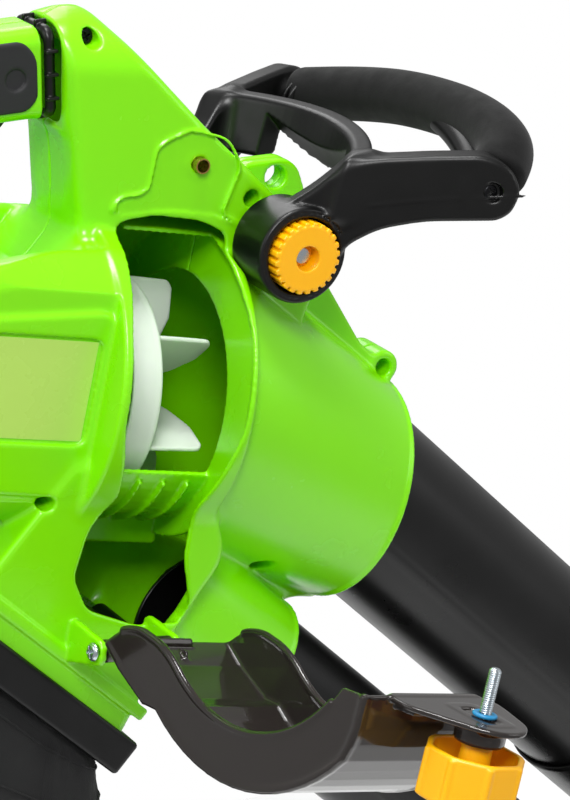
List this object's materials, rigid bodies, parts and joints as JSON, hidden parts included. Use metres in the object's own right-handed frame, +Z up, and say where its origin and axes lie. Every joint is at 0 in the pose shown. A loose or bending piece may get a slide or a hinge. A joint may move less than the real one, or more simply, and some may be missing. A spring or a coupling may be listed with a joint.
{
  "type": "leaf blower",
  "caption": "Handheld leaf blower and vacuum with tilted motor, open access cover, swivelling front handle, suction tube, blow tube and debris bag.",
  "frame": {"origin": "middle of the bore of the shoulder-strap eye on the ridge of the housing", "axes": "+X forward, towards the tubes; +Y to the user's left, along the strap eye's bore; +Z up"},
  "size_m": [0.8423, 0.4747, 0.7541],
  "materials": {
    "housing_green": "satin moulded ABS",
    "black_plastic": "moulded nylon",
    "tube_black": "extruded polypropylene",
    "knob_yellow": "moulded nylon",
    "impeller_white": "natural nylon",
    "smoke_clear": "smoked polycarbonate",
    "zinc_steel": "zinc plated",
    "black_screw": "black oxide",
    "brass": "turned",
    "copper": "copper windings and segments",
    "lamination": "stacked laminations",
    "carbon": "carbon",
    "soft_grip": "moulded soft grip",
    "foam": "closed-cell foam sleeve",
    "bag_cloth": "woven polyester",
    "blue_lock": "nylon washer",
    "board_green": "circuit board",
    "label_green": "printed blank label"
  },
  "bodies": {
    "housing": {"right_housing": "housing_green", "left_housing": "housing_green", "housing_screws": "black_screw", "rating_plate": "label_green", "cover_nut_insert": "brass", "front_bearing": "zinc_steel", "rear_bearing": "zinc_steel", "stator": "lamination", "carbon_brushes": "carbon", "brush_holders": "brass", "main_switch": "black_plastic", "control_board": "board_green", "trigger_pin": "zinc_steel", "trigger_spring": "zinc_steel", "cable_gland": "black_plastic", "grip_inserts": "soft_grip", "handle_collar": "black_plastic", "pivot_bolt": "zinc_steel", "pivot_nut": "black_plastic", "upper_suction_tube": "tube_black", "lower_suction_tube": "tube_black", "upper_blow_tube": "tube_black", "lower_blow_tube": "tube_black", "tube_screws": "zinc_steel", "hinge_screw": "zinc_steel", "hinge_nut": "zinc_steel", "interlock_switch": "black_plastic", "bag_collar": "black_plastic", "collar_seal": "soft_grip", "debris_bag": "bag_cloth", "latch_pin": "zinc_steel", "bag_zip": "black_plastic"},
    "rotor": {"motor_shaft": "zinc_steel", "impeller": "impeller_white", "impeller_nut": "zinc_steel", "armature": "copper", "commutator": "copper"},
    "front_handle": {"front_handle": "black_plastic", "foam_grip": "foam", "grip_bar": "black_plastic", "grip_screws": "black_screw"},
    "handle_knob": {"handle_knob": "knob_yellow"},
    "access_cover": {"access_cover": "smoke_clear", "cover_washer": "blue_lock"},
    "cover_knob": {"cover_knob": "knob_yellow", "cover_bolt": "zinc_steel"},
    "trigger": {"trigger": "black_plastic"},
    "speed_dial": {"speed_dial": "knob_yellow"},
    "selector": {"flap": "black_plastic", "flap_shaft": "zinc_steel", "selector_lever": "knob_yellow"},
    "bag_latch": {"bag_latch": "knob_yellow"}
  },
  "joints": [
    {"name": "rotor_spin", "type": "hinge", "parent": "housing", "child": "rotor", "pos_m": [-0.097, 0, -0.101], "axis": [0.9744, 0, -0.225], "continuous": true},
    {"name": "front_handle_tilt", "type": "hinge", "parent": "housing", "child": "front_handle", "pos_m": [-0.021, 0, -0.022], "axis": [0, -1, 0], "range_deg": [-10, 70]},
    {"name": "handle_knob_turn", "type": "hinge", "parent": "housing", "child": "handle_knob", "pos_m": [-0.021, -0.072, -0.022], "axis": [0, -1, 0], "continuous": true},
    {"name": "access_cover_hinge", "type": "hinge", "parent": "housing", "child": "access_cover", "pos_m": [-0.12999, -0.095, -0.20833], "axis": [0.9779, 0.0871, -0.19], "range_deg": [-88, 0]},
    {"name": "cover_knob_turn", "type": "hinge", "parent": "access_cover", "child": "cover_knob", "pos_m": [-0.07155, -0.33031, -0.16173], "axis": [0.2724, 0.0392, 0.9614], "continuous": true},
    {"name": "trigger_pull", "type": "hinge", "parent": "housing", "child": "trigger", "pos_m": [-0.151, 0, 0.061], "axis": [0, 1, 0], "range_deg": [0, 9], "stiffness_Nm_per_rad": 0.25, "springref_deg": -8.59, "deforming": ["trigger_spring"]},
    {"name": "speed_dial_turn", "type": "hinge", "parent": "housing", "child": "speed_dial", "pos_m": [-0.192, 0, 0.091], "axis": [0, 1, 0], "range_deg": [-135, 135]},
    {"name": "selector_turn", "type": "hinge", "parent": "housing", "child": "selector", "pos_m": [-0.111, 0, -0.225], "axis": [0, 1, 0], "range_deg": [0, 34]},
    {"name": "bag_latch_press", "type": "hinge", "parent": "housing", "child": "bag_latch", "pos_m": [-0.22923, -0.028, -0.17808], "axis": [0, -1, 0], "range_deg": [0, 18], "stiffness_Nm_per_rad": 0.3, "springref_deg": -5.73}
  ]
}
